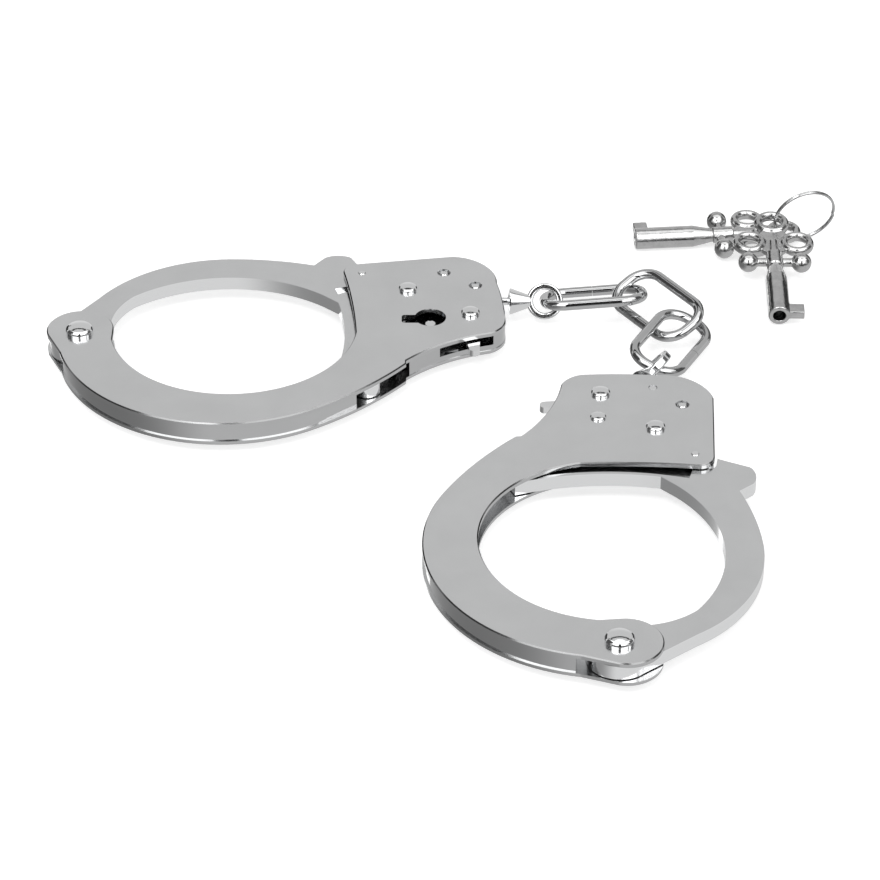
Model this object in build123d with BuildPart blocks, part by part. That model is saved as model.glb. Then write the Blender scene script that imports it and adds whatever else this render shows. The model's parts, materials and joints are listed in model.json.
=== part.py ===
"""Pair of chain-linked, single-strand handcuffs with two keys on a split ring.

Each cuff is drawn in its own cuff frame: the origin is on the strand's pivot axis at
mid thickness, +X runs towards the swivel, +Y towards the strand, and +Z is the keyhole
side. The left cuff lies keyhole up. The right cuff is the same cuff turned over.
"""
import math
import os

from build123d import *

os.makedirs("parts", exist_ok=True)

# ---------------------------------------------------------------- driving dimensions, mm
# cuff case
CHEEK_T = 1.0
CASE_T = 5.6
CAVITY = CASE_T - 2 * CHEEK_T
EDGE_ROUND = 0.25
CORNER_BLEND = 1.0
# fixed bow
BOW_OUTER_C = (32.2, 1.9)
BOW_OUTER_R = 37.2
BOW_INNER_C = (33.5, 3.0)
BOW_INNER_R = 26.9
PIVOT_END_C = (0.0, 1.4)
PIVOT_END_R = 7.3
SPACER_INSET = 0.35
SPACER_T = 1.2
SPACER_START = 197.0
SPACER_END = (60.4, -21.7)
# lock case
WALL_INSET = 0.12
WALL_T = 0.9
WINDOW_LOW = -0.5
SWIVEL_HOLE = (90.7, 16.8)
SWIVEL_HOLE_R = 1.4
# fasteners
PIVOT_SHANK_R = 2.0
PIVOT_HEAD_R = 3.0
PIVOT_HEAD_H = 1.9
RIVET_SHANK_R = 1.2
RIVET_HEAD_R = 2.05
RIVET_HEAD_H = 1.1
PAWL_RIVET = (71.5, 17.4)
CASE_RIVET = (85.3, 7.6)
SPRING_PIN = (79.5, 24.3)
BLOCK_PIN = (86.5, 19.0)
PIN_SHANK_R = 0.95
PIN_PILLAR_R = 1.1
PIN_RECESS_R = 1.5
PIN_RECESS = 0.7
NOSE_PIN = (61.2, 24.2)
NOSE_PIN_R = 0.85
NOSE_PIN_PROUD = 0.15
KEY_POST = (76.5, 5.9)
KEY_POST_R = 1.3
KEY_POST_TOP = 1.2
KEYHOLE_R = 3.45
KEY_SLOT_REACH = 6.3
KEY_SLOT_W = 3.2
# strand
STRAND_T = 3.1
HUB_R = 6.5
PIVOT_PLAY = 0.06
BLADE_IN_R = 57.8
TOOTH_TIP_R = 68.2
TOOTH_ROOT_R = 67.2
TOOTH_PITCH = 2.5
TOOTH_COUNT = 9
TOOTH_STEEP_PART = 0.15             # part of the pitch taken by the steep, locking side
TOOTH_FIRST = -8.5
RECESS_DEPTH = 0.75
RIM_W = 0.8
RECESS_LOW = -10.0
RECESS_HIGH = 19.5
# pawl and release lever
PAWL_T = 3.0
PAWL_LIFT = 4.5
PAWL_TEETH = 3
MESH_GAP = 0.15
LEVER_T = 1.5
LEVER_BASE = -0.15
# swivel
SHANK_R = 0.85
CONE_START = 2.9
CONE_WIDE = 3.55
CONE_R = 2.9
CONE_TIP = 8.0
CONE_TIP_R = 1.35
EYE_X = 11.2
EYE_OUTER_R = 4.05
EYE_HOLE_R = 2.6
EYE_T = 1.9
HEAD_R = 1.5
HEAD_T = 0.8
# chain
LINK_A = 10.9
LINK_B = 5.68
LINK_CORNER = 4.9
WIRE_R = 1.15
SEAM = 0.08
# keys
BARREL_R = 2.45
BARREL_BORE_R = 1.42
BARREL_L = 13.4
BIT_REACH = 5.6
BIT_L = 3.2
BIT_T = 2.0
SIDE_EYE = (26.8, 5.4)
END_EYE = (34.4, 0.0)
EYE_TUBE_R = 0.92
EYE_TUBE_H = 1.2
SIDE_EYE_R = 2.93
END_EYE_R = 3.1
BEAD = (19.8, 6.0)
BEAD_R = 2.3
RING_R = 7.1
RING_WIRE_R = 0.45

# ---------------------------------------------------------------- how the set lies
MID_Z = PIVOT_HEAD_H + CASE_T / 2
ORIGIN_SHIFT = (-2.444, -12.175)


def lay(x, y, z):
    """A point of the lying set, measured from the middle of its footprint."""
    return (x + ORIGIN_SHIFT[0], y + ORIGIN_SHIFT[1], z)


def heading(degrees_from_x, rise=0.0):
    """A unit direction in plan, tipped up by rise degrees."""
    a, r = math.radians(degrees_from_x), math.radians(rise)
    return (math.cos(a) * math.cos(r), math.sin(a) * math.cos(r), math.sin(r))


LEFT_CUFF = Plane(lay(-78.61, 41.33, MID_Z), x_dir=heading(0.0), z_dir=(0, 0, 1))
RIGHT_CUFF = Plane(lay(34.79, -68.25, MID_Z), x_dir=heading(95.5), z_dir=(0, 0, -1))
LEFT_SWIVEL_TURN = dict(yaw=0.0, pitch=0.0, roll=55.0, push=0.0)
RIGHT_SWIVEL_TURN = dict(yaw=28.0, pitch=-3.0, roll=-51.0, push=-1.1)
LINK_PLANES = (
    Plane(lay(34.2, 60.0, 4.6), x_dir=(0.997, 0.041, 0.061), z_dir=(-0.071, 0.316, 0.946)),
    Plane(lay(48.22, 55.4, 5.43), x_dir=(-0.588, 0.808, 0.028), z_dir=(-0.293, -0.245, 0.924)),
    Plane(lay(50.45, 41.95, 4.25), x_dir=(-0.448, -0.893, 0.034), z_dir=(0.249, -0.088, 0.965)),
)
KEY_1 = Plane(lay(44.7, 88.2, 2.5), x_dir=heading(5.0), z_dir=(0, 0, 1))
KEY_2 = Plane(lay(75.4, 55.4, 2.55), x_dir=heading(89.0, 5.0), z_dir=(0, 0.087, -0.996))
KEY_RING = Plane(lay(83.5, 90.4, 7.4), z_dir=(0.264, -0.934, -0.241))
RIGHT_STRAND_OPEN = TOOTH_PITCH


def polar(radius, degrees_from_x, centre=(0.0, 0.0)):
    a = math.radians(degrees_from_x)
    return (centre[0] + radius * math.cos(a), centre[1] + radius * math.sin(a))


def circle_x(centre, radius, y, side):
    """X of the circle's point at height y, on its left (-1) or right (+1) side."""
    return centre[0] + side * math.sqrt(radius**2 - (y - centre[1]) ** 2)


# ---------------------------------------------------------------- case of one cuff
BOW_TOP_Y = -3.0
BOW_OUT_Y = -8.0
NECK_START = (53.0, BOW_OUTER_C[1] - math.sqrt(BOW_OUTER_R**2 - (53.0 - BOW_OUTER_C[0]) ** 2))
NECK_MID = (62.4, -21.7)
NOTCH = (71.3, -12.3)
NOTCH_STEP = 1.2
LOCK_START = (NOTCH[0], NOTCH[1] + NOTCH_STEP)
LOCK_HEEL = (89.7, -0.3)
LOCK_END_LOW = (93.0, 5.6)
LOCK_END_HIGH = (91.3, 20.4)
LOCK_TOP = (81.5, 31.3)
NOSE_TOP = (59.7, 28.1)
NOSE_IN = (57.0, 24.9)
THROAT_LOW = (circle_x(BOW_INNER_C, BOW_INNER_R, 0.0, 1), 0.0)


def lock_edge():
    """The outer edge of the lock case, from the notch round the swivel end to the nose."""
    ThreePointArc(LOCK_START, (78.9, -4.9), LOCK_HEEL)
    ThreePointArc(LOCK_HEEL, (92.1, 1.8), LOCK_END_LOW)
    ThreePointArc(LOCK_END_LOW, (92.5, 12.8), LOCK_END_HIGH)
    ThreePointArc(LOCK_END_HIGH, (88.4, 28.0), LOCK_TOP)
    Line(LOCK_TOP, NOSE_TOP)
    ThreePointArc(NOSE_TOP, (57.8, 27.0), NOSE_IN)


def cheek_outline():
    bow_in = (circle_x(BOW_INNER_C, BOW_INNER_R, BOW_TOP_Y, -1), BOW_TOP_Y)
    bow_out = (circle_x(BOW_OUTER_C, BOW_OUTER_R, BOW_OUT_Y, -1), BOW_OUT_Y)
    end_right = polar(PIVOT_END_R, 0, PIVOT_END_C)
    end_top = polar(PIVOT_END_R, 95, PIVOT_END_C)
    end_left = polar(PIVOT_END_R, 199, PIVOT_END_C)
    with BuildSketch() as outline:
        with BuildLine():
            Line(bow_in, end_right)
            ThreePointArc(end_right, end_top, end_left)
            Line(end_left, bow_out)
            ThreePointArc(bow_out, (BOW_OUTER_C[0], BOW_OUTER_C[1] - BOW_OUTER_R), NECK_START)
            ThreePointArc(NECK_START, NECK_MID, NOTCH)
            Line(NOTCH, LOCK_START)
            lock_edge()
            ThreePointArc(NOSE_IN, (59.1, 12.5), THROAT_LOW)
            ThreePointArc(THROAT_LOW, (BOW_INNER_C[0], BOW_INNER_C[1] - BOW_INNER_R), bow_in)
        make_face()
        fillet(outline.vertices().filter_by(lambda v: abs(v.X - NOTCH[0]) > 0.1), CORNER_BLEND)
    return outline.sketch


def cheek(front):
    """A stamped cheek plate. The front one has the keyhole, the back one seats the key post."""
    side = 1 if front else -1
    outer = side * CASE_T / 2
    with BuildPart() as plate:
        with BuildSketch(Plane.XY.offset(outer)):
            add(cheek_outline())
            with Locations((0, 0)):
                Circle(PIVOT_SHANK_R, mode=Mode.SUBTRACT)
            with Locations(PAWL_RIVET, CASE_RIVET):
                Circle(RIVET_SHANK_R, mode=Mode.SUBTRACT)
            with Locations(SPRING_PIN, BLOCK_PIN):
                Circle(PIN_SHANK_R, mode=Mode.SUBTRACT)
            with Locations(NOSE_PIN):
                Circle(NOSE_PIN_R, mode=Mode.SUBTRACT)
            with Locations(KEY_POST):
                Circle(KEYHOLE_R if front else KEY_POST_R, mode=Mode.SUBTRACT)
            if front:
                with Locations((KEY_POST[0] - KEY_SLOT_REACH / 2, KEY_POST[1] - 0.6)):
                    RectangleRounded(KEY_SLOT_REACH, KEY_SLOT_W, 0.7, mode=Mode.SUBTRACT)
        extrude(amount=-side * CHEEK_T)
        recessed = (SPRING_PIN, BLOCK_PIN) if front else (SPRING_PIN,)
        with BuildSketch(Plane.XY.offset(outer)):
            with Locations(*recessed):
                Circle(PIN_RECESS_R)
        extrude(amount=-side * PIN_RECESS, mode=Mode.SUBTRACT)
        rim = plate.faces().sort_by(Axis.Z)[-1 if front else 0].outer_wire().edges()
        chamfer(rim, EDGE_ROUND)
    return plate.part


def bow_spacer():
    """The strip that keeps the bow's two plates apart along their outer edge."""
    middle = BOW_OUTER_R - SPACER_INSET - SPACER_T / 2
    neck = math.degrees(math.atan2(NECK_START[1] - BOW_OUTER_C[1], NECK_START[0] - BOW_OUTER_C[0]))
    with BuildPart() as strip:
        with BuildSketch(Plane.XY.offset(-CAVITY / 2)):
            with BuildLine():
                CenterArc(BOW_OUTER_C, middle, SPACER_START, 360 + neck - SPACER_START)
                Line(polar(middle, neck, BOW_OUTER_C), SPACER_END)
            trace(line_width=SPACER_T)
        extrude(amount=CAVITY)
    return strip.part


def lock_wall():
    """The wall strip of the lock case, with the lever window and the swivel hole."""
    region = ((72.0, -14), (72.0, -7), (80, 6), (80, 26), (63.4, 24.5), (63.4, 34), (96, 34), (96, -14))
    with BuildPart() as wall:
        with BuildSketch(Plane.XY.offset(-CAVITY / 2)):
            add(offset(cheek_outline(), amount=-WALL_INSET, kind=Kind.INTERSECTION, mode=Mode.PRIVATE))
            core = offset(cheek_outline(), amount=-WALL_INSET - WALL_T, kind=Kind.INTERSECTION, mode=Mode.PRIVATE)
            add(core, mode=Mode.SUBTRACT)
            with BuildLine():
                Polyline(*region, close=True)
            make_face(mode=Mode.INTERSECT)
        extrude(amount=CAVITY)
        with BuildSketch(Plane.XY.offset(WINDOW_LOW)):
            with BuildLine():
                Polyline((78.6, -8), (90.3, -8), (90.3, 1.4), (78.6, 1.4), close=True)
            make_face()
        extrude(amount=CAVITY, mode=Mode.SUBTRACT)
        with BuildSketch(Plane.YZ.offset(SWIVEL_HOLE[0] - 1)):
            with Locations((SWIVEL_HOLE[1], 0)):
                Circle(SWIVEL_HOLE_R)
        extrude(amount=4, mode=Mode.SUBTRACT)
    return wall.part


# ---------------------------------------------------------------- fasteners of one cuff
def dome(radius, edge, top):
    """A button head's outline, from its side at height edge, round the shoulder, to the axis at height top."""
    rise = top - edge
    reach, crown = radius * 0.72, abs(rise) * 0.3
    sphere = reach**2 / (2 * crown) + crown / 2
    sag = math.copysign(sphere - math.sqrt(sphere**2 - (reach / 2) ** 2), rise)
    shoulder = (reach, edge + rise * 0.7)
    ThreePointArc((radius, edge), (radius * 0.93, edge + rise * 0.4), shoulder)
    ThreePointArc(shoulder, (reach / 2, top - sag), (0, top))


def rivet(at, shank_r, head_r, head_h):
    """A rivet through the whole case, with a domed head on each cheek."""
    face = CASE_T / 2
    rim = face + 0.35 * head_h
    top = face + head_h
    with BuildPart() as body:
        with BuildSketch(Plane.XZ):
            with BuildLine():
                Polyline((0, top), (0, 0), (shank_r, 0), (shank_r, face), (head_r, face), (head_r, rim))
                dome(head_r, rim, top)
            make_face()
        revolve(axis=Axis.Z)
        mirror(about=Plane.XY)
    return body.part.moved(Location((at[0], at[1], 0)))


def plain_rivet(at):
    return rivet(at, RIVET_SHANK_R, RIVET_HEAD_R, RIVET_HEAD_H)


def pivot_rivet():
    return rivet((0, 0), PIVOT_SHANK_R, PIVOT_HEAD_R, PIVOT_HEAD_H)


def flush_pin(at, shank_r, pillar_r, end):
    """A pin whose thicker pillar spans the cavity; its ends stop at +-end."""
    with BuildPart() as pin:
        with BuildSketch(Plane.XY.offset(-end)):
            Circle(shank_r)
        extrude(amount=2 * end)
        with BuildSketch(Plane.XY.offset(-CAVITY / 2)):
            Circle(pillar_r)
        extrude(amount=CAVITY)
        ends = pin.faces().filter_by(Axis.Z).group_by(Axis.Z)
        chamfer(ends[0].edges() + ends[-1].edges(), 0.15)
    return pin.part.moved(Location((at[0], at[1], 0)))


def case_pins():
    end = CASE_T / 2 - 0.1
    pair = [flush_pin(at, PIN_SHANK_R, PIN_PILLAR_R, end) for at in (SPRING_PIN, BLOCK_PIN)]
    return Compound(pair)


def nose_pins():
    """The two short pins at the nose, one in each cheek, flush with the cavity."""
    face = CAVITY / 2
    pins = []
    for side in (1, -1):
        with BuildPart() as pin:
            with BuildSketch(Plane.XY.offset(side * face)):
                with Locations(NOSE_PIN):
                    Circle(NOSE_PIN_R)
            extrude(amount=side * (CHEEK_T + NOSE_PIN_PROUD))
            outer = pin.faces().sort_by(Axis.Z)[-1 if side > 0 else 0]
            chamfer(outer.edges(), 0.15)
        pins.append(pin.part)
    return Compound(pins)


def key_post():
    """The post that the hollow key turns on, riveted over on the back cheek."""
    face = -CASE_T / 2
    head_r = KEY_POST_R + 0.4
    with BuildPart() as post:
        with BuildSketch(Plane.XZ):
            with BuildLine():
                Polyline((0, face - 0.7), (0, KEY_POST_TOP), (KEY_POST_R - 0.2, KEY_POST_TOP),
                         (KEY_POST_R, KEY_POST_TOP - 0.2), (KEY_POST_R, face), (head_r, face), (head_r, face - 0.2))
                dome(head_r, face - 0.2, face - 0.7)
            make_face()
        revolve(axis=Axis.Z)
    return post.part.moved(Location((KEY_POST[0], KEY_POST[1], 0)))


# ---------------------------------------------------------------- strand
def strand_edge():
    """The strand's edge, closed position: hub flank, outer curve, stop tab, notch, blade, inner curve."""
    hub_left = polar(HUB_R - 0.05, 145)
    blade_top = polar(TOOTH_ROOT_R, 17.0)
    teeth_end = TOOTH_FIRST + TOOTH_COUNT * TOOTH_PITCH
    tip_out = polar(TOOTH_ROOT_R + 0.6, -13.6)
    tip_in = polar(BLADE_IN_R, -16.5)
    kink = polar(BLADE_IN_R, 13.8)
    Line(hub_left, (3.0, 15.6))
    ThreePointArc((3.0, 15.6), (13.4, 26.5), (31.0, 32.0))
    ThreePointArc((31.0, 32.0), (41.0, 31.4), (50.3, 29.4))
    Line((50.3, 29.4), (52.7, 32.6))
    ThreePointArc((52.7, 32.6), (55.2, 33.5), (57.4, 33.2))
    ThreePointArc((57.4, 33.2), (58.4, 32.7), (58.9, 31.9))
    Line((58.9, 31.9), (61.9, 26.2))
    Line((61.9, 26.2), (59.7, 25.7))
    ThreePointArc((59.7, 25.7), (58.9, 25.3), (58.5, 24.5))
    Line((58.5, 24.5), (58.4, 18.9))
    Line((58.4, 18.9), blade_top)
    ThreePointArc(blade_top, polar(TOOTH_ROOT_R, (17.0 + teeth_end) / 2), polar(TOOTH_ROOT_R, teeth_end))
    for k in reversed(range(TOOTH_COUNT)):
        low = TOOTH_FIRST + k * TOOTH_PITCH
        tip = polar(TOOTH_TIP_R, low + TOOTH_PITCH * (1 - TOOTH_STEEP_PART))
        Line(polar(TOOTH_ROOT_R, low + TOOTH_PITCH), tip)
        Line(tip, polar(TOOTH_ROOT_R, low))
    Line(polar(TOOTH_ROOT_R, TOOTH_FIRST), polar(TOOTH_ROOT_R + 0.6, TOOTH_FIRST - 0.5))
    ThreePointArc(polar(TOOTH_ROOT_R + 0.6, TOOTH_FIRST - 0.5), polar(TOOTH_ROOT_R + 0.6, -11), tip_out)
    ThreePointArc(tip_out, (65.0, -18.3), (62.4, -19.3))
    Line((62.4, -19.3), tip_in)
    ThreePointArc(tip_in, polar(BLADE_IN_R, -1.0), kink)
    Line(kink, (52.9, 16.7))
    ThreePointArc((52.9, 16.7), (31.7, 24.2), (10.7, 16.4))
    ThreePointArc((10.7, 16.4), (7.7, 11.6), (6.4, 6.5))
    Line((6.4, 6.5), (6.3, 0.0))
    Line((6.3, 0.0), hub_left)


def strand():
    with BuildPart() as arm:
        with BuildSketch(Plane.XY.offset(-STRAND_T / 2)):
            with BuildLine():
                strand_edge()
            make_face()
            Circle(HUB_R)
            Circle(PIVOT_SHANK_R + PIVOT_PLAY, mode=Mode.SUBTRACT)
        extrude(amount=STRAND_T)
        for face in (1, -1):
            with BuildSketch(Plane.XY.offset(face * STRAND_T / 2)):
                with BuildLine():
                    Line(polar(BLADE_IN_R + RIM_W, RECESS_LOW), polar(70, RECESS_LOW))
                    ThreePointArc(polar(70, RECESS_LOW), polar(70, 2), polar(70, RECESS_HIGH))
                    Line(polar(70, RECESS_HIGH), polar(BLADE_IN_R + RIM_W, RECESS_HIGH))
                    ThreePointArc(polar(BLADE_IN_R + RIM_W, RECESS_HIGH), polar(BLADE_IN_R + RIM_W, 2),
                                  polar(BLADE_IN_R + RIM_W, RECESS_LOW))
                make_face()
            extrude(amount=-face * RECESS_DEPTH, mode=Mode.SUBTRACT)
    return arm.part


# ---------------------------------------------------------------- pawl, lever and spring
def about(point, angle):
    """A turn by angle about an axis along Z through point."""
    return Location((point[0], point[1], 0), (0, 0, angle)) * Location((-point[0], -point[1], 0))


def pawl():
    """The toothed pawl, drawn engaged: boss, toothed bar, foot under the key post and key finger."""
    bar_in = TOOTH_TIP_R + 0.3
    bar_out = bar_in + 1.9
    point = TOOTH_ROOT_R + MESH_GAP
    steep = TOOTH_STEEP_PART
    tooth_low = TOOTH_FIRST + TOOTH_PITCH + 0.1
    with BuildPart() as body:
        with BuildSketch(Plane.XY.offset(-PAWL_T / 2)):
            with BuildLine():
                Line((68.6, 16.2), polar(bar_in, 10.5))
                Line(polar(bar_in, 10.5), polar(bar_in, tooth_low + (PAWL_TEETH - steep) * TOOTH_PITCH))
                for k in reversed(range(PAWL_TEETH)):
                    low = tooth_low + k * TOOTH_PITCH
                    Line(polar(bar_in, low + (1 - steep) * TOOTH_PITCH), polar(point, low))
                    Line(polar(point, low), polar(bar_in, low - steep * TOOTH_PITCH))
                Line(polar(bar_in, tooth_low - steep * TOOTH_PITCH), (68.3, -8.0))
                Line((68.3, -8.0), (70.3, -7.2))
                ThreePointArc((70.3, -7.2), (77.2, -2.9), (83.4, 0.3))
                Line((83.4, 0.3), (83.4, 5.4))
                Line((83.4, 5.4), (81.3, 5.4))
                Line((81.3, 5.4), (81.3, 1.9))
                ThreePointArc((81.3, 1.9), (75.5, -0.9), (70.2, -3.8))
                Line((70.2, -3.8), polar(bar_out, 0.5))
                ThreePointArc(polar(bar_out, 0.5), polar(bar_out, 5.0), polar(bar_out, 9.0))
                Line(polar(bar_out, 9.0), (73.6, 15.0))
                Line((73.6, 15.0), (68.6, 16.2))
            make_face()
            with Locations(PAWL_RIVET):
                Circle(3.0)
                Circle(RIVET_SHANK_R + 0.05, mode=Mode.SUBTRACT)
        extrude(amount=PAWL_T)
        with BuildSketch(Plane.XY.offset(LEVER_BASE)):
            with BuildLine():
                Polyline((78.0, -9), (78.0, 1.8), (85, 1.8), (85, -9), close=True)
            make_face()
        extrude(amount=PAWL_T, mode=Mode.SUBTRACT)
    return body.part


def release_lever():
    """The thumb lever, fixed on the pawl's foot, with its rounded tip out of the window."""
    with BuildPart() as lever:
        with BuildSketch(Plane.XY.offset(LEVER_BASE)):
            with BuildLine():
                Polyline((83.2, -5.6), (82.9, -2.2), (81.2, -0.8), (78.3, -0.8), (78.3, 0.6), (82.2, 1.5),
                         (85.4, 0.6), (85.8, -2.6), (85.5, -5.6))
                ThreePointArc((85.5, -5.6), (84.4, -6.4), (83.2, -5.6))
            make_face()
        extrude(amount=LEVER_T)
    return lever.part


def pawl_spring():
    """A hairpin leaf round the spring pin: one leg on the top wall, one on the pawl's back."""
    leaf = 0.4
    loop_r = PIN_PILLAR_R + 0.05 + leaf / 2
    start = polar(loop_r, 150, SPRING_PIN)
    over = polar(loop_r, 20, SPRING_PIN)
    end = polar(loop_r, -70, SPRING_PIN)
    with BuildPart() as spring:
        with BuildSketch(Plane.XY.offset(-1.2)):
            with BuildLine() as path:
                Line((68.5, 27.4), start)
                ThreePointArc(start, over, end)
                Line(end, (71.3, 9.8))
            trace(line_width=leaf)
        extrude(amount=2.4)
    return spring.part


# ---------------------------------------------------------------- swivel
def swivel():
    """Shank, double cone and flat eye. +X runs out of the case, Z is the eye's normal."""
    with BuildPart() as body:
        with BuildSketch(Plane.XY):
            with BuildLine():
                Polyline((-2.6, 0), (-2.6, SHANK_R), (CONE_START, SHANK_R), (CONE_WIDE - 0.15, CONE_R),
                         (CONE_WIDE + 0.15, CONE_R), (CONE_TIP, CONE_TIP_R), (CONE_TIP, 0), close=True)
            make_face()
        revolve(axis=Axis.X)
        with BuildSketch(Plane.XZ):
            with Locations((EYE_X + (EYE_OUTER_R + EYE_HOLE_R) / 2, 0)):
                RectangleRounded(EYE_OUTER_R - EYE_HOLE_R, EYE_T, 0.45)
        revolve(axis=Axis((EYE_X, 0, 0), (0, 0, 1)))
    return body.part


def swivel_head():
    """The head set on the shank's inner end, which keeps the swivel in the case."""
    with BuildPart() as head:
        with BuildSketch(Plane.YZ.offset(-2.6)):
            Circle(HEAD_R)
            Circle(SHANK_R, mode=Mode.SUBTRACT)
        extrude(amount=HEAD_T)
    return head.part


# ---------------------------------------------------------------- chain
def link():
    """One wire link, butt jointed in the middle of its +Y side."""
    a, b, r = LINK_A, LINK_B, LINK_CORNER
    k = r * (1 - math.sqrt(0.5))
    with BuildPart() as body:
        with BuildLine():
            Line((SEAM / 2, b), (a - r, b))
            ThreePointArc((a - r, b), (a - k, b - k), (a, b - r))
            Line((a, b - r), (a, r - b))
            ThreePointArc((a, r - b), (a - k, k - b), (a - r, -b))
            Line((a - r, -b), (r - a, -b))
            ThreePointArc((r - a, -b), (k - a, k - b), (-a, r - b))
            Line((-a, r - b), (-a, b - r))
            ThreePointArc((-a, b - r), (k - a, b - k), (r - a, b))
            Line((r - a, b), (-SEAM / 2, b))
        with BuildSketch(Plane((SEAM / 2, b, 0), x_dir=(0, 1, 0), z_dir=(1, 0, 0))):
            Circle(WIRE_R)
        sweep()
    return body.part


# ---------------------------------------------------------------- keys
def key_eye(radius):
    """One ring of the bow, thicker across the bow than along it."""
    with BuildPart(mode=Mode.PRIVATE) as eye:
        with BuildSketch(Plane.XZ):
            with Locations((radius, 0)):
                Ellipse(EYE_TUBE_R, EYE_TUBE_H)
        revolve(axis=Axis.Z)
    return eye.part


def key():
    """A cast key. +X runs from the tip to the bow, and the bow lies in the XY plane."""
    collar_end = 22.6
    with BuildPart() as body:
        with BuildSketch(Plane.XY):
            with BuildLine():
                Polyline((0, 0), (0, BARREL_R - 0.2), (0.2, BARREL_R), (BARREL_L, BARREL_R), (18.0, 1.5),
                         (18.0, 1.9), (collar_end, 1.9), (collar_end, 1.2), (27.5, 1.0), (27.5, 0), close=True)
            make_face()
        revolve(axis=Axis.X)
        with BuildSketch(Plane.XZ.offset(-BIT_REACH)):
            with Locations((BIT_L / 2 + 0.2, 0)):
                RectangleRounded(BIT_L, BIT_T, 0.25)
        extrude(amount=BIT_REACH - BARREL_R + 0.6)
        with BuildSketch(Plane.YZ):
            Circle(BARREL_BORE_R)
        extrude(amount=9.0, mode=Mode.SUBTRACT)
        for side in (1, -1):
            with BuildSketch(Plane.XZ.offset(-side * BEAD[1])):
                with Locations((BEAD[0], 0)):
                    Circle(1.0)
            extrude(amount=side * BEAD[1])
            with Locations((BEAD[0], side * BEAD[1], 0)):
                Sphere(BEAD_R)
        with BuildSketch(Plane.XY.offset(-0.6)):
            with BuildLine():
                Polyline((21, 0), SIDE_EYE, END_EYE, (SIDE_EYE[0], -SIDE_EYE[1]), close=True)
            make_face()
            with Locations(SIDE_EYE, (SIDE_EYE[0], -SIDE_EYE[1])):
                Circle(SIDE_EYE_R, mode=Mode.SUBTRACT)
            with Locations(END_EYE):
                Circle(END_EYE_R, mode=Mode.SUBTRACT)
        extrude(amount=1.2)
        with Locations(SIDE_EYE, (SIDE_EYE[0], -SIDE_EYE[1])):
            add(key_eye(SIDE_EYE_R))
        with Locations(END_EYE):
            add(key_eye(END_EYE_R))
    return body.part


def key_ring():
    with BuildPart() as ring:
        Torus(RING_R, RING_WIRE_R)
    return ring.part


# ---------------------------------------------------------------- assembly
def save(piece, name, place):
    """Write one piece as its own node, at its place in the lying set."""
    placed = piece.moved(place)
    placed.label = name
    export_step(placed, f"parts/{name}.step")


def save_cuff(side, plane, strand_open):
    """One complete cuff in its place. strand_open is the strand's opening at rest, degrees."""
    place = plane.location
    lifted = place * about(PAWL_RIVET, PAWL_LIFT)
    save(cheek(True), f"{side}_keyhole_cheek", place)
    save(cheek(False), f"{side}_plain_cheek", place)
    save(bow_spacer(), f"{side}_bow_spacer", place)
    save(lock_wall(), f"{side}_lock_wall", place)
    save(pivot_rivet(), f"{side}_pivot_rivet", place)
    save(plain_rivet(PAWL_RIVET), f"{side}_pawl_rivet", place)
    save(plain_rivet(CASE_RIVET), f"{side}_case_rivet", place)
    save(case_pins(), f"{side}_case_pins", place)
    save(nose_pins(), f"{side}_nose_pins", place)
    save(key_post(), f"{side}_key_post", place)
    save(pawl_spring(), f"{side}_pawl_spring", place)
    save(strand(), f"{side}_strand", place * about((0, 0), strand_open))
    save(pawl(), f"{side}_pawl", lifted)
    save(release_lever(), f"{side}_release_lever", lifted)


def save_swivel(side, plane, yaw, pitch, roll, push):
    """A swivel in its hole: swung sideways, dipped, rolled about its shank and pushed in."""
    hole = plane.location * Location((SWIVEL_HOLE[0], SWIVEL_HOLE[1], 0))
    place = hole * Rot(0, 0, yaw) * Rot(0, pitch, 0) * Rot(roll, 0, 0) * Pos(push, 0, 0)
    save(swivel(), f"{side}_swivel", place)
    save(swivel_head(), f"{side}_swivel_head", place)


save_cuff("left", LEFT_CUFF, 0.0)
save_cuff("right", RIGHT_CUFF, RIGHT_STRAND_OPEN)
save_swivel("left", LEFT_CUFF, **LEFT_SWIVEL_TURN)
save_swivel("right", RIGHT_CUFF, **RIGHT_SWIVEL_TURN)
for number, plane in enumerate(LINK_PLANES, start=1):
    save(link(), f"chain_link_{number}", plane.location)
save(key(), "key_1", KEY_1.location)
save(key(), "key_2", KEY_2.location)
save(key_ring(), "key_ring", KEY_RING.location)
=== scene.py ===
"""Looks of a pair of chain-linked handcuffs with two keys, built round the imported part. Metres, Z up."""
import json
import math

import bpy
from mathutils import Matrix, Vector


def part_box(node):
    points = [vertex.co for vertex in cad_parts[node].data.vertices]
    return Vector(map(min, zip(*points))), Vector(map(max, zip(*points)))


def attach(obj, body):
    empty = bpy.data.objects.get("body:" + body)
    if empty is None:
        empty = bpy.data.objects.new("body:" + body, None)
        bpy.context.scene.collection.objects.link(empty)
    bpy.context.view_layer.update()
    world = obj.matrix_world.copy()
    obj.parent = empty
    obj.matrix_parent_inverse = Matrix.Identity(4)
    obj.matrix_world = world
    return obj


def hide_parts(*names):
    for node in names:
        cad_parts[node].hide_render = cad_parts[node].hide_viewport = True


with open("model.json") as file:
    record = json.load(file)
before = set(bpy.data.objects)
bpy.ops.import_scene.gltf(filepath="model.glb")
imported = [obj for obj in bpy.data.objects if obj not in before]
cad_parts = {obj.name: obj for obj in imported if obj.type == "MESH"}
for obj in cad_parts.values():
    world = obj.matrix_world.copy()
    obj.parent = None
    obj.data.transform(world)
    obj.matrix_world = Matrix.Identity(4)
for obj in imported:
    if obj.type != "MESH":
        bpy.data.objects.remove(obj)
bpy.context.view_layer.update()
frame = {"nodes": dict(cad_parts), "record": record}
NODES = frame["nodes"]
MM = 0.001

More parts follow.
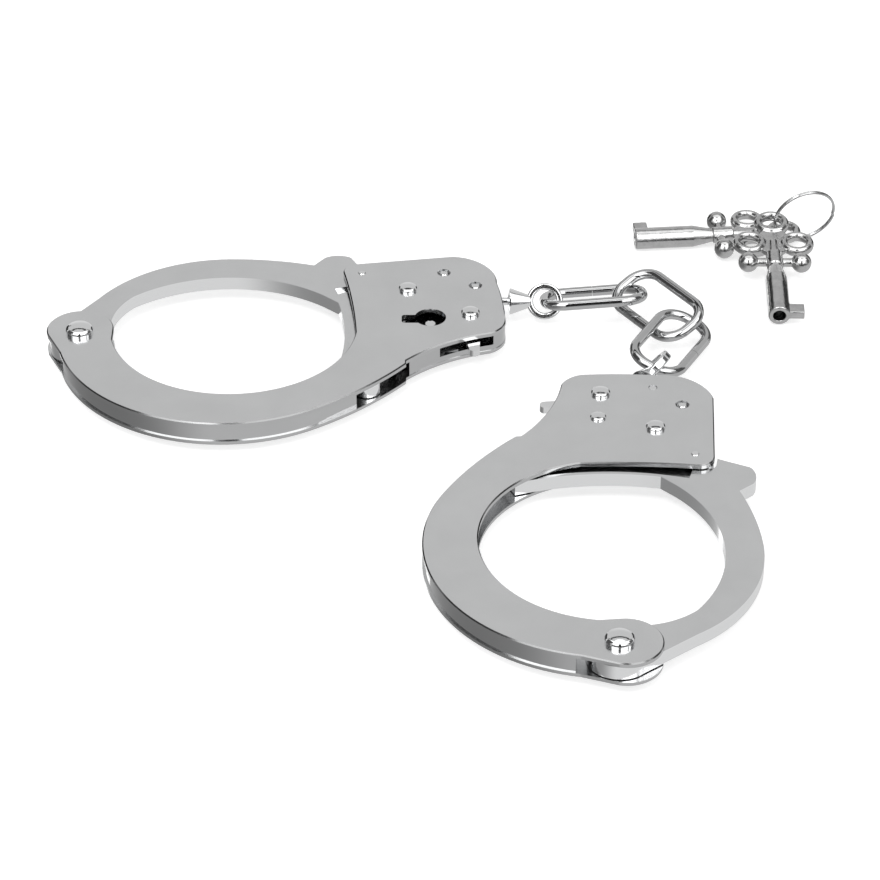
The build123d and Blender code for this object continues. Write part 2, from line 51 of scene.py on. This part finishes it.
# ---------------------------------------------------------------- camera, floor and lights
LOOK_AT = Vector((-2.44, -12.17, 7.5)) * MM      # the point that the camera looks at
CAMERA_DISTANCE = 764.06 * MM
CAMERA_ELEVATION = 34.76                         # degrees above the horizon, looking along +Y
CAMERA_LENS = 149.65
CAMERA_CLIP = (0.05, 20.0)
SENSOR = 36.0
FLOOR_SIDE = 8.0
FLOOR_TONE = 0.9
FLOOR_GLOW = 0.55
LIGHTS = (                                       # name, place, size, watts
    ("key_light", (-0.35, -0.55, 1.25), (0.5, 0.35), 3.0),
    ("fill_light", (0.8, -0.2, 0.9), (0.3, 0.6), 1.2),
)

# ---------------------------------------------------------------- the studio as the metal reflects it
# A direction's brightness. X is -1 at the left and 1 at the right, Z is the sine of the height.
TABLE_LEFT, TABLE_RIGHT = 0.3, 0.84              # the white table, which falls off to the left
TABLE_FADE_X = (-0.85, -0.1)
SKY_LOW, SKY_MIDDLE = 0.95, 0.79
SKY_FADE_Z = (0.05, 0.45)
HORIZON_Z = (-0.06, 0.04)
CARD_DISTANCE = 3.0
CARDS = (                                        # name, azimuth, elevation, width, height, brightness
    ("card_over_dark", 0, 57, 150, 6, 0.02),
    ("card_top_bright", 0, 82, 110, 26, 1.5),
    ("card_left_bright", 212, 48, 42, 48, 2.4),
    ("card_right_bright", 148, 48, 42, 48, 2.4),
    ("card_camera_dark", 180, 40, 15, 60, 0.02),
    ("card_front_dark", 180, 2, 150, 22, 0.02),
    ("card_back_left_dark", 318, 4, 34, 44, 0.03),
    ("card_back_right_dark", 40, 2, 30, 40, 0.05),
    ("card_left_dark", 270, 30, 40, 70, 0.08),
    ("card_right_dark", 90, 25, 40, 50, 0.12),
    ("card_low_streak", 335, -35, 8, 60, 1.6),
)

# ---------------------------------------------------------------- pieces
RING_WIRE_R = 0.30 * MM                          # the split ring's wire
RING_TURNS = 2.0
RING_START = 2.2                                 # where the wire's first end is, in radians
RING_STEPS = 240
RING_RISE = 2.05                                 # end to end across the coil, in wire radii
RING_INSET = 1.5                                 # wire's centre in from the CAD ring's rim, in wire radii
KEY_VOXEL = 0.13 * MM
KEY_SMOOTHING = 0.5
KEY_SMOOTHINGS = 7

# ---------------------------------------------------------------- the nickel's texture, and the painted reflection on its walls and bevels
CLOUD_SCALE = 90.0                               # features per metre, of each layer of noise
PATCH_SCALE = 160.0
HAIR_SCALE = 900.0
WAVE_SCALE = 220.0
GRAIN_SCALE = 5200.0
HAIR_STRETCH = (1.0, 0.05, 1.0)
HAIR_ROUGHNESS = 0.10
WAVE_DEPTH = 0.02 * MM
GRAIN_DEPTH = 0.004 * MM
HAIR_DEPTH = 0.002 * MM
PAINTED_BEVEL_REFLECTION = 0.25                                # painted reflection: a dull line painted along the bevelled edges of blanked sheet
WALL_TO_BEVEL = (0.3, 0.45)                      # size of the normal's Z, from upright wall to bevel
BEVEL_TO_FACE = (0.86, 0.97)


# ---------------------------------------------------------------- node-tree helpers
class Tree:
    """A metal's node tree with short names for the few node types used here."""

    def __init__(self, name):
        self.material = bpy.data.materials.new(name)
        self.material.use_nodes = True
        self.nodes = self.material.node_tree.nodes
        self.links = self.material.node_tree.links
        self.nodes.clear()
        self.output = self.nodes.new("ShaderNodeOutputMaterial")
        self.shader = self.nodes.new("ShaderNodeBsdfPrincipled")
        self.shader.inputs["Metallic"].default_value = 1.0
        self.link(self.shader, "BSDF", self.output, "Surface")
        self.place = self.nodes.new("ShaderNodeTexCoord")

    def link(self, source, out, target, into):
        self.links.new(source.outputs[out], target.inputs[into])

    def mapped(self, scale):
        node = self.nodes.new("ShaderNodeMapping")
        node.inputs["Scale"].default_value = scale
        self.link(self.place, "Object", node, "Vector")
        return node

    def noise(self, scale, detail=3.0, roughness=0.55, stretch=(1, 1, 1), distortion=0.0):
        node = self.nodes.new("ShaderNodeTexNoise")
        node.inputs["Scale"].default_value = scale
        node.inputs["Detail"].default_value = detail
        node.inputs["Roughness"].default_value = roughness
        node.inputs["Distortion"].default_value = distortion
        self.link(self.mapped(stretch), "Vector", node, "Vector")
        return node

    def spots(self, scale):
        node = self.nodes.new("ShaderNodeTexVoronoi")
        node.inputs["Scale"].default_value = scale
        self.link(self.mapped((1, 1, 1)), "Vector", node, "Vector")
        return node

    def ramp(self, source, out, low, high):
        """A colour ramp between two stops, each a place and a colour."""
        node = self.nodes.new("ShaderNodeValToRGB")
        for element, (place, colour) in zip(node.color_ramp.elements, (low, high)):
            element.position = place
            element.color = colour
        self.link(source, out, node, "Fac")
        return node

    def math(self, operation, a, b):
        node = self.nodes.new("ShaderNodeMath")
        node.operation = operation
        for socket, value in zip(node.inputs, (a, b)):
            if isinstance(value, (int, float)):
                socket.default_value = value
            else:
                self.links.new(value, socket)
        return node

    def painted_reflection_by_slope(self, face, wall, bevel):
        """Painted reflection by slope: the face colour where the surface lies flat, a painted bevel tone on
        its edges, a painted wall tone where it stands upright.
        """
        split = self.nodes.new("ShaderNodeSeparateXYZ")
        self.link(self.place, "Normal", split, "Vector")
        flat = self.math("ABSOLUTE", split.outputs["Z"], 0.0).outputs[0]
        lower = self.blend(flat, WALL_TO_BEVEL)
        lower.inputs["Color1"].default_value = wall
        lower.inputs["Color2"].default_value = bevel
        upper = self.blend(flat, BEVEL_TO_FACE)
        self.link(lower, "Color", upper, "Color1")
        self.link(face, "Color", upper, "Color2")
        return upper

    def blend(self, value, span):
        """A colour mix that goes from its first colour to its second as the value crosses the span."""
        gate = self.nodes.new("ShaderNodeMapRange")
        gate.inputs["From Min"].default_value, gate.inputs["From Max"].default_value = span
        self.links.new(value, gate.inputs["Value"])
        node = self.nodes.new("ShaderNodeMixRGB")
        self.link(gate, "Result", node, "Fac")
        return node

    def bump(self, source, out, distance, strength, below=None):
        """A bump from a texture's output, on top of the bump below."""
        node = self.nodes.new("ShaderNodeBump")
        node.inputs["Strength"].default_value = strength
        node.inputs["Distance"].default_value = distance
        self.link(source, out, node, "Height")
        if below is not None:
            self.link(below, "Normal", node, "Normal")
        return node


def grey(value, tint=0.0):
    """A neutral colour, a little blue where tint is above 0."""
    return (value * (1 - tint), value, value * (1 + tint), 1.0)


BLACK, WHITE = grey(0.0), grey(1.0)


# ---------------------------------------------------------------- materials
def plated(name, tone, rough, grain=0.0, wear=0.5, ripple=0.0, tint=0.006, painted_wall_reflection=None):
    """Nickel plate: faint clouds, roughness in patches, hairline scratches and a soft ripple.

    The upright walls of a blanked sheet get painted reflection, a tone of their own given as
    painted_wall_reflection, and their bevels a darker painted tone."""
    t = Tree(name)
    clouds = t.noise(CLOUD_SCALE, 4.0)
    colour = t.ramp(clouds, "Fac", (0.25, grey(tone * 0.955, tint)), (0.75, grey(tone * 1.03, tint)))
    # painted reflection: upright walls and edge bevels get painted tones by slope
    if painted_wall_reflection:
        colour = t.painted_reflection_by_slope(colour, grey(painted_wall_reflection, tint), grey(PAINTED_BEVEL_REFLECTION, tint))
    t.link(colour, "Color", t.shader, "Base Color")

    patches = t.noise(PATCH_SCALE, 5.0, 0.65)
    hairs = t.noise(HAIR_SCALE, 2.0, 0.5, stretch=HAIR_STRETCH, distortion=0.3)
    scratch = t.ramp(hairs, "Fac", (0.66, BLACK), (0.72, WHITE))
    worn = t.math("MULTIPLY", scratch.outputs["Color"], HAIR_ROUGHNESS * wear)
    base = t.ramp(patches, "Fac", (0.3, grey(rough * 0.82)), (0.75, grey(rough * 1.2)))
    total = t.math("ADD", base.outputs["Color"], worn.outputs[0])
    t.links.new(total.outputs[0], t.shader.inputs["Roughness"])

    normal = t.bump(t.noise(WAVE_SCALE, 2.0), "Fac", WAVE_DEPTH * ripple, 0.5)
    if grain:
        normal = t.bump(t.noise(GRAIN_SCALE, 2.0), "Fac", GRAIN_DEPTH * grain, 0.6, below=normal)
    line = t.bump(hairs, "Fac", HAIR_DEPTH * wear, 0.3, below=normal)
    t.link(line, "Normal", t.shader, "Normal")
    return t.material


def plain_steel(name, tone, rough, blue=0.0):
    """Unplated inner parts: machining lines and darker clouds."""
    t = Tree(name)
    clouds = t.noise(260.0, 5.0, 0.7)
    colour = t.ramp(clouds, "Fac", (0.2, grey(tone * 0.7, blue)), (0.8, grey(tone * 1.15, blue)))
    t.link(colour, "Color", t.shader, "Base Color")
    lines = t.noise(1400.0, 3.0, stretch=(0.08, 1.0, 1.0))
    level = t.ramp(lines, "Fac", (0.3, grey(rough * 0.8)), (0.7, grey(rough * 1.25)))
    t.link(level, "Color", t.shader, "Roughness")
    t.link(t.bump(lines, "Fac", 0.01 * MM, 0.5), "Normal", t.shader, "Normal")
    return t.material


def cast_nickel(name):
    """The keys: nickel over a cast body, softly uneven, with small pits."""
    t = Tree(name)
    clouds = t.noise(420.0, 5.0, 0.6)
    colour = t.ramp(clouds, "Fac", (0.2, grey(0.46)), (0.8, grey(0.64)))
    t.link(colour, "Color", t.shader, "Base Color")
    patches = t.noise(700.0, 4.0)
    level = t.ramp(patches, "Fac", (0.3, grey(0.13)), (0.75, grey(0.25)))
    t.link(level, "Color", t.shader, "Roughness")
    swell = t.bump(t.noise(520.0, 3.0), "Fac", 0.12 * MM, 0.55)
    pits = t.ramp(t.spots(900.0), "Distance", (0.05, BLACK), (0.25, WHITE))
    pitted = t.bump(pits, "Color", 0.012 * MM, 0.35, below=swell)
    t.link(pitted, "Normal", t.shader, "Normal")
    return t.material


def make_materials():
    sheet = dict(grain=0.25, ripple=0.15)
    return {
        # case plate: its upright walls carry a painted reflection tone
        "case_plate": plated("nickel_case_plate", 0.75, 0.2, wear=0.3, painted_wall_reflection=0.6, **sheet),
        "case_strip": plated("nickel_case_strip", 0.58, 0.07, ripple=1.0),
        # the bow's strip: a copy of the strip's nickel whose tone is painted shade
        "bow_strip_painted_shade": plated("nickel_bow_strip_painted_shade", 0.6, 0.08, ripple=1.0),
        # strand: its upright walls carry a bright painted reflection tone
        "strand": plated("nickel_strand", 0.75, 0.18, wear=0.4, painted_wall_reflection=0.96, **sheet),
        "rivet": plated("nickel_rivet", 0.84, 0.09, wear=0.6, ripple=1.6),
        "lock_part": plain_steel("oiled_steel", 0.24, 0.3),
        "spring_steel": plain_steel("blued_spring_steel", 0.28, 0.25, blue=0.08),
        "swivel": plated("nickel_swivel", 0.86, 0.12, wear=0.4, ripple=1.0),
        "chain": plated("nickel_chain", 0.56, 0.08, wear=0.7, ripple=1.4),
        "key_metal": cast_nickel("cast_nickel_key"),
    }


MATERIALS = make_materials()


def dress_nodes():
    """Give each CAD node the material of the record's slot, and the bow's strip its own darker one, whose
    tone is painted shade.
    """
    for part in frame["record"]["subparts"]:
        mesh = NODES[part["node"]].data
        mesh.materials.clear()
        # painted shade: the bow's spacer gets the separately toned strip copy
        slot = "bow_strip_painted_shade" if part["node"].endswith("bow_spacer") else part["material_slot"]
        mesh.materials.append(MATERIALS[slot])


# ---------------------------------------------------------------- pieces
def added(name, data):
    piece = bpy.data.objects.new(name, data)
    bpy.context.scene.collection.objects.link(piece)
    return piece


def stand_for(piece, node):
    """Parent the piece to the empty of the node's body and hide the CAD node, which it replaces."""
    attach(piece, node)
    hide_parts(node)


def baked(piece):
    """Apply the piece's modifiers to its mesh."""
    graph = bpy.context.evaluated_depsgraph_get()
    mesh = bpy.data.meshes.new_from_object(piece.evaluated_get(graph))
    piece.modifiers.clear()
    piece.data = mesh
    for polygon in mesh.polygons:
        polygon.use_smooth = True


def cast_key(node):
    """The CAD key with its joins run together and its edges softened, as a casting has them."""
    mesh = NODES[node].data.copy()
    mesh.materials.clear()
    mesh.materials.append(MATERIALS["key_metal"])
    piece = added(f"cast_{node}", mesh)
    grid = piece.modifiers.new("grid", "REMESH")
    grid.mode = "VOXEL"
    grid.voxel_size = KEY_VOXEL
    soften = piece.modifiers.new("soften", "SMOOTH")
    soften.factor = KEY_SMOOTHING
    soften.iterations = KEY_SMOOTHINGS
    baked(piece)
    stand_for(piece, node)


def ring_normal(points, centre):
    """Normal of the plane that a ring of points lies in."""
    total = Vector((0, 0, 0))
    first = points[0] - centre
    for point in points:
        turn = first.cross(point - centre)
        if turn.length > 0.3 * first.length ** 2:
            total += turn if turn.dot(total) >= 0 else -turn
    return total.normalized()


def split_ring():
    """The key ring as a flat coil of two turns of wire with capped ends."""
    low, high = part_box("key_ring")
    centre = (low + high) / 2
    points = [v.co.copy() for v in NODES["key_ring"].data.vertices]
    normal = ring_normal(points, centre)
    across = normal.orthogonal().normalized()
    along = normal.cross(across)
    middle = max((p - centre).length for p in points) - RING_WIRE_R * RING_INSET
    curve = bpy.data.curves.new("split_ring", "CURVE")
    curve.dimensions = "3D"
    curve.bevel_depth = RING_WIRE_R
    curve.bevel_resolution = 6
    curve.use_fill_caps = True
    spline = curve.splines.new("POLY")
    spline.points.add(RING_STEPS)
    for k in range(RING_STEPS + 1):
        turn = RING_TURNS * math.tau * k / RING_STEPS + RING_START
        lift = RING_WIRE_R * RING_RISE * (k / RING_STEPS - 0.5)
        place = centre + (across * math.cos(turn) + along * math.sin(turn)) * middle + normal * lift
        spline.points[k].co = (*place, 1.0)
    curve.materials.append(MATERIALS["chain"])
    stand_for(added("split_ring", curve), "key_ring")


# ---------------------------------------------------------------- surroundings
def flat_sheet(name, half_w, half_h, material):
    """A staged rectangle that faces +Z."""
    mesh = bpy.data.meshes.new(name)
    corners = [(-half_w, -half_h, 0), (half_w, -half_h, 0), (half_w, half_h, 0), (-half_w, half_h, 0)]
    mesh.from_pydata(corners, [], [(0, 1, 2, 3)])
    mesh.materials.append(material)
    sheet = added(name, mesh)
    return sheet


def make_floor():
    """A white floor for the camera. The metal reflects the studio's table instead of it."""
    material = bpy.data.materials.new("white_floor")
    material.use_nodes = True
    inputs = material.node_tree.nodes["Principled BSDF"].inputs
    inputs["Base Color"].default_value = grey(FLOOR_TONE)
    inputs["Roughness"].default_value = 0.9
    inputs["Specular IOR Level"].default_value = 0.0
    inputs["Emission Color"].default_value = WHITE
    inputs["Emission Strength"].default_value = FLOOR_GLOW
    floor = flat_sheet("floor", FLOOR_SIDE / 2, FLOOR_SIDE / 2, material)
    floor.visible_glossy = False


def make_world():
    """A studio dome by direction: grey sky, white table below that falls off to the left."""
    world = bpy.data.worlds.new("studio")
    bpy.context.scene.world = world
    world.use_nodes = True
    nodes, links = world.node_tree.nodes, world.node_tree.links
    nodes.clear()
    output = nodes.new("ShaderNodeOutputWorld")
    background = nodes.new("ShaderNodeBackground")
    place = nodes.new("ShaderNodeTexCoord")
    split = nodes.new("ShaderNodeSeparateXYZ")
    links.new(place.outputs["Generated"], split.inputs[0])

    def spread(axis, span, values):
        """Go from the first value to the second as the direction's axis crosses the span."""
        node = nodes.new("ShaderNodeMapRange")
        node.interpolation_type = "SMOOTHSTEP"
        node.inputs["From Min"].default_value, node.inputs["From Max"].default_value = span
        node.inputs["To Min"].default_value, node.inputs["To Max"].default_value = values
        links.new(split.outputs[axis], node.inputs["Value"])
        return node.outputs["Result"]

    table = spread("X", TABLE_FADE_X, (TABLE_LEFT, TABLE_RIGHT))
    sky = spread("Z", SKY_FADE_Z, (SKY_LOW, SKY_MIDDLE))
    above = spread("Z", HORIZON_Z, (0.0, 1.0))
    mix = nodes.new("ShaderNodeMix")
    for socket, link in zip(("Factor", "A", "B"), (above, table, sky)):
        links.new(link, mix.inputs[socket])
    links.new(mix.outputs["Result"], background.inputs["Strength"])
    links.new(background.outputs[0], output.inputs["Surface"])


def card(name, azimuth, elevation, width, height, level):
    """A card seen only in reflections: its middle's direction and its size in degrees, its brightness.

    Azimuth 0 is +Y, away from the camera, and 180 is the camera's side."""
    turn, rise = math.radians(azimuth), math.radians(elevation)
    out = Vector((math.sin(turn) * math.cos(rise), math.cos(turn) * math.cos(rise), math.sin(rise)))
    half_w, half_h = (CARD_DISTANCE * math.tan(math.radians(v) / 2) for v in (width, height))
    material = bpy.data.materials.new(name)
    material.use_nodes = True
    nodes = material.node_tree.nodes
    nodes.clear()
    glow = nodes.new("ShaderNodeEmission")
    glow.inputs["Strength"].default_value = level
    end = nodes.new("ShaderNodeOutputMaterial")
    material.node_tree.links.new(glow.outputs[0], end.inputs["Surface"])
    piece = flat_sheet(name, half_w, half_h, material)
    piece.location = out * CARD_DISTANCE
    piece.rotation_mode = "QUATERNION"
    piece.rotation_quaternion = out.to_track_quat("Z", "Y")
    piece.visible_camera = piece.visible_diffuse = piece.visible_shadow = False


def area_light(name, place, size, power):
    data = bpy.data.lights.new(name, "AREA")
    data.shape = "RECTANGLE"
    data.size, data.size_y = size
    data.energy = power
    light = added(name, data)
    light.location = place
    light.rotation_mode = "QUATERNION"
    light.rotation_quaternion = (LOOK_AT - Vector(place)).to_track_quat("-Z", "Y")


def make_camera():
    tilt = math.radians(CAMERA_ELEVATION)
    back = Vector((0, -math.cos(tilt), math.sin(tilt)))
    data = bpy.data.cameras.new("camera")
    data.lens = CAMERA_LENS
    data.sensor_width = SENSOR
    data.clip_start, data.clip_end = CAMERA_CLIP
    camera = added("camera", data)
    camera.location = LOOK_AT + back * CAMERA_DISTANCE
    camera.rotation_mode = "QUATERNION"
    camera.rotation_quaternion = (-back).to_track_quat("-Z", "Y")
    bpy.context.scene.camera = camera


def set_tones():
    settings = bpy.context.scene.view_settings
    settings.view_transform = "Standard"
    settings.look = "None"
    settings.exposure = 0.0


# ---------------------------------------------------------------- build
dress_nodes()
for key in ("key_1", "key_2"):
    cast_key(key)
split_ring()
make_floor()
make_world()
for settings in CARDS:
    card(*settings)
for settings in LIGHTS:
    area_light(*settings)
make_camera()
set_tones()
